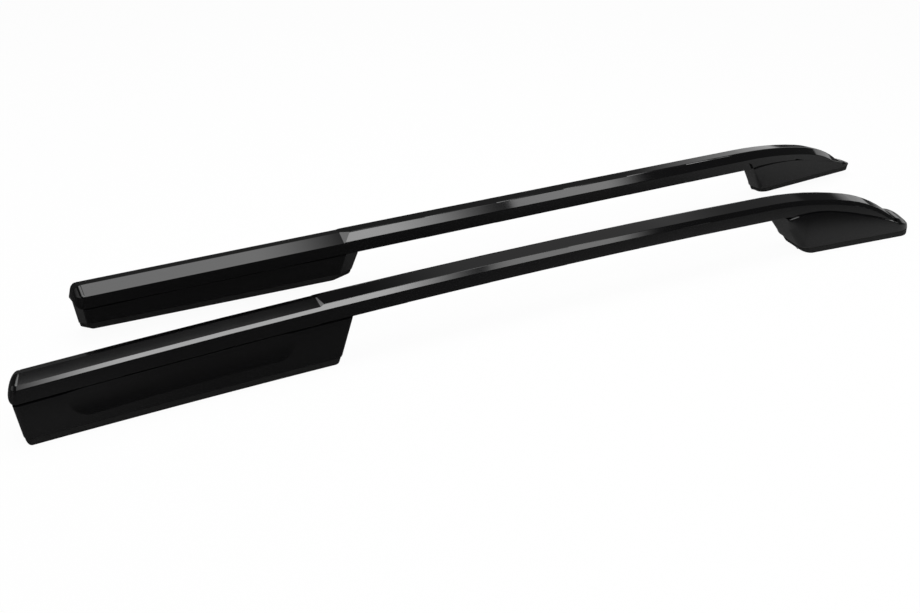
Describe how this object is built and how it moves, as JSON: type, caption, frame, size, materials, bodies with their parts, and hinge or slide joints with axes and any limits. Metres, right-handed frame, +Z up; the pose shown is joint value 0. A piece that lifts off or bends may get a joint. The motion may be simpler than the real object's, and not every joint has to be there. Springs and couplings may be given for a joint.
{
  "type": "roof side rail pair",
  "caption": "Mirrored pair of raised roof side rails: a long faceted bar with a nose cap, a long skirted front foot and a swept rear foot, on bolted base pads.",
  "frame": {"origin": "middle of the pair's box, at the lowest edges of the base pads", "axes": "+X back along the rails from the long foot, +Y from the left rail to the right one, +Z up"},
  "size_m": [1.65, 0.3168, 0.1056],
  "materials": {
    "bar": "gloss black lacquer on an extruded bar",
    "cap": "gloss black",
    "foot": "gloss black",
    "pad": "matt black",
    "pedestal": "as cast",
    "plate": "zinc plated",
    "screw": "zinc plated"
  },
  "bodies": {
    "root": {"left_rail_bar": "bar", "left_nose_cap": "cap", "left_front_foot": "foot", "left_front_base_pad": "pad", "left_rear_foot": "foot", "left_rear_base_pad": "pad", "left_front_pedestal": "pedestal", "left_middle_pedestal": "pedestal", "left_rear_pedestal": "pedestal", "left_nut_plates": "plate", "left_bar_screws": "screw", "right_rail_bar": "bar", "right_nose_cap": "cap", "right_front_foot": "foot", "right_front_base_pad": "pad", "right_rear_foot": "foot", "right_rear_base_pad": "pad", "right_front_pedestal": "pedestal", "right_middle_pedestal": "pedestal", "right_rear_pedestal": "pedestal", "right_nut_plates": "plate", "right_bar_screws": "screw"}
  },
  "joints": []
}
